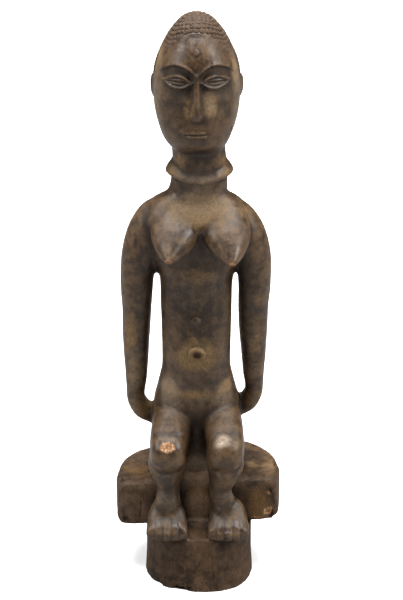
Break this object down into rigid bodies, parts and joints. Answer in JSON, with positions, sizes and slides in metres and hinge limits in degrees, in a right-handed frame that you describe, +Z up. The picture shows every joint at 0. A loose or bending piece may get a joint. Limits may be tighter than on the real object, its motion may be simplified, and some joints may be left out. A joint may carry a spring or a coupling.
{
  "type": "carved wooden statuette",
  "caption": "Carved wooden statuette of a seated woman on a flat-fronted drum stool and a round base, in one piece.",
  "frame": {"origin": "centre of the round base's flat underside, on the surface that the statuette stands on", "axes": "+Z up along the figure, -Y the way the face looks, +X to the viewer's right"},
  "size_m": [0.132, 0.1242, 0.4564],
  "materials": {
    "carved_wood": "dark brown wood with a rubbed satin patina, dusty in the hollows"
  },
  "bodies": {
    "root": {"statuette": "carved_wood"}
  },
  "joints": []
}
